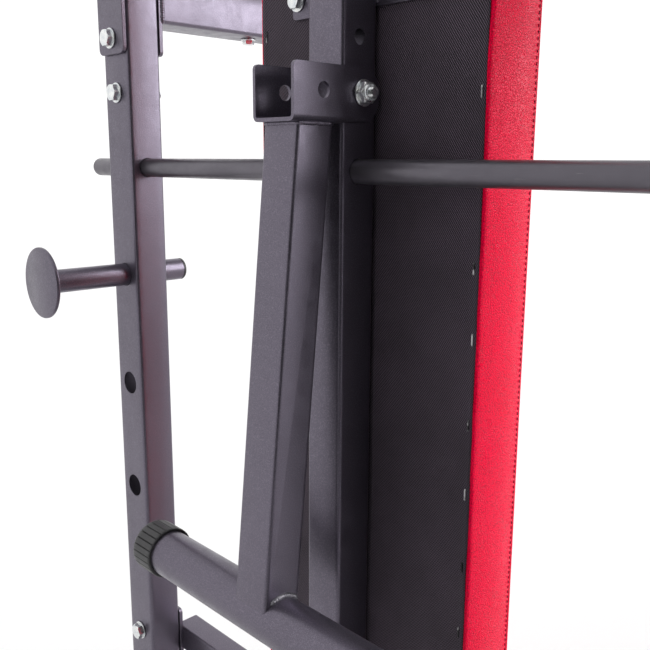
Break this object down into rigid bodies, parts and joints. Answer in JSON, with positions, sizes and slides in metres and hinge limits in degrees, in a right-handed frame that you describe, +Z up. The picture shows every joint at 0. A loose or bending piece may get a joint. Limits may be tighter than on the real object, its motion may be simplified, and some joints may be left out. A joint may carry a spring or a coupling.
{
  "type": "folding weight bench",
  "caption": "Flat weight bench that folds up between two uprights, with a lock rod, barbell pegs, a folding leg and forearm arms.",
  "frame": {"origin": "centre of the bounding box's footprint, on the floor", "axes": "+Z up, +X to the right along the lock rod, -Y to the front, where the bench folds down"},
  "size_m": [0.812, 0.78, 1.376],
  "materials": {
    "frame_paint": "satin charcoal powder coat",
    "rod_paint": "scuffed dark bar",
    "zinc": "bright zinc plate",
    "black_plastic": "moulded, slightly grained",
    "red_vinyl": "grained vinyl with a soft gloss",
    "arm_pad_vinyl": "grained black vinyl",
    "backing_cloth": "woven dust cover",
    "board": "plain plywood",
    "grip_foam": "matt foam"
  },
  "bodies": {
    "rack": {"upright_left": "frame_paint", "upright_cap_left": "black_plastic", "base_foot_left": "frame_paint", "base_foot_cap_front_left": "black_plastic", "base_foot_cap_rear_left": "black_plastic", "arm_left": "frame_paint", "arm_front_plate_left": "frame_paint", "arm_bolt_lower_left": "zinc", "arm_bolt_upper_left": "zinc", "upright_bolt_left": "zinc", "crossbar_bolt_upper_left": "zinc", "crossbar_bolt_lower_left": "zinc", "arm_pad_left": "arm_pad_vinyl", "arm_pad_bolt_1_left": "zinc", "arm_pad_bolt_2_left": "zinc", "arm_end_cap_left": "black_plastic", "arm_grip_left": "grip_foam", "upright_right": "frame_paint", "upright_cap_right": "black_plastic", "base_foot_right": "frame_paint", "base_foot_cap_front_right": "black_plastic", "base_foot_cap_rear_right": "black_plastic", "arm_right": "frame_paint", "arm_front_plate_right": "frame_paint", "arm_bolt_lower_right": "zinc", "arm_bolt_upper_right": "zinc", "upright_bolt_right": "zinc", "crossbar_bolt_upper_right": "zinc", "crossbar_bolt_lower_right": "zinc", "arm_pad_right": "arm_pad_vinyl", "arm_pad_bolt_1_right": "zinc", "arm_pad_bolt_2_right": "zinc", "arm_end_cap_right": "black_plastic", "arm_grip_right": "grip_foam", "base_cross_tube": "frame_paint", "crossbar_lower": "frame_paint", "bench_hinge_bolt": "zinc"},
    "bench": {"bench_beam": "frame_paint", "bench_beam_cap": "black_plastic", "pad_strap_upper": "frame_paint", "pad_bolt_upper_left": "zinc", "pad_bolt_upper_right": "zinc", "pad_strap_lower": "frame_paint", "pad_bolt_lower_left": "zinc", "pad_bolt_lower_right": "zinc", "pad_backing": "backing_cloth", "pad_board": "board", "pad_cushion": "red_vinyl", "leg_pivot_bolt": "zinc"},
    "leg": {"leg_bracket": "frame_paint", "leg_strut": "frame_paint", "leg_foot_tube": "frame_paint", "leg_foot_cap_left": "black_plastic", "leg_foot_cap_right": "black_plastic"},
    "rod": {"lock_rod": "rod_paint"},
    "peg_left": {"peg_left": "frame_paint", "peg_plug_left": "black_plastic"},
    "peg_right": {"peg_right": "frame_paint", "peg_plug_right": "black_plastic"}
  },
  "joints": [
    {"name": "bench_fold", "type": "hinge", "parent": "rack", "child": "bench", "pos_m": [0, -0.09, 0.4585], "axis": [1, 0, 0], "range_deg": [0, 90]},
    {"name": "leg_fold", "type": "hinge", "parent": "bench", "child": "leg", "pos_m": [0, -0.09, 1.1065], "axis": [1, 0, 0], "range_deg": [-90, 0]},
    {"name": "rod_slide", "type": "slide", "parent": "rack", "child": "rod", "axis": [1, 0, 0], "range_m": [0, 0.7]},
    {"name": "peg_left_slide", "type": "slide", "parent": "rack", "child": "peg_left", "axis": [0, -1, 0], "range_m": [0, 0.06]},
    {"name": "peg_right_slide", "type": "slide", "parent": "rack", "child": "peg_right", "axis": [0, -1, 0], "range_m": [0, 0.06]}
  ]
}
